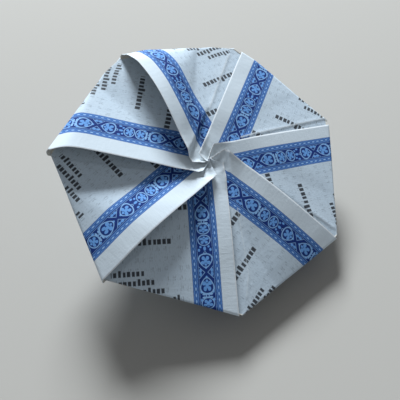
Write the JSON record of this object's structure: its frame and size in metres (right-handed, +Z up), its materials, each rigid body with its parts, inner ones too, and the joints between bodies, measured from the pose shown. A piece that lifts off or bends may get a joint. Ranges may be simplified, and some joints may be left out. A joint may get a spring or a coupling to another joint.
{
  "type": "origami spinning top",
  "caption": "Folded paper spinning top: a shallow seven-sided pyramid over a deeper one, made of interleaved printed sheets in a pinwheel, lying on one lower panel.",
  "frame": {"origin": "middle of the underside of the box round the top as it lies", "axes": "+Z up from the table; -Y towards the low side of the rim, so the rim leans towards -Y; +X to the right of someone who looks along +Y"},
  "size_m": [0.119, 0.1092, 0.0564],
  "materials": {
    "printed_paper": "matte"
  },
  "bodies": {
    "root": {"folded_sheet_1": "printed_paper", "folded_sheet_2": "printed_paper", "folded_sheet_3": "printed_paper", "folded_sheet_4": "printed_paper", "folded_sheet_5": "printed_paper", "folded_sheet_6": "printed_paper", "folded_sheet_7": "printed_paper"}
  },
  "joints": []
}
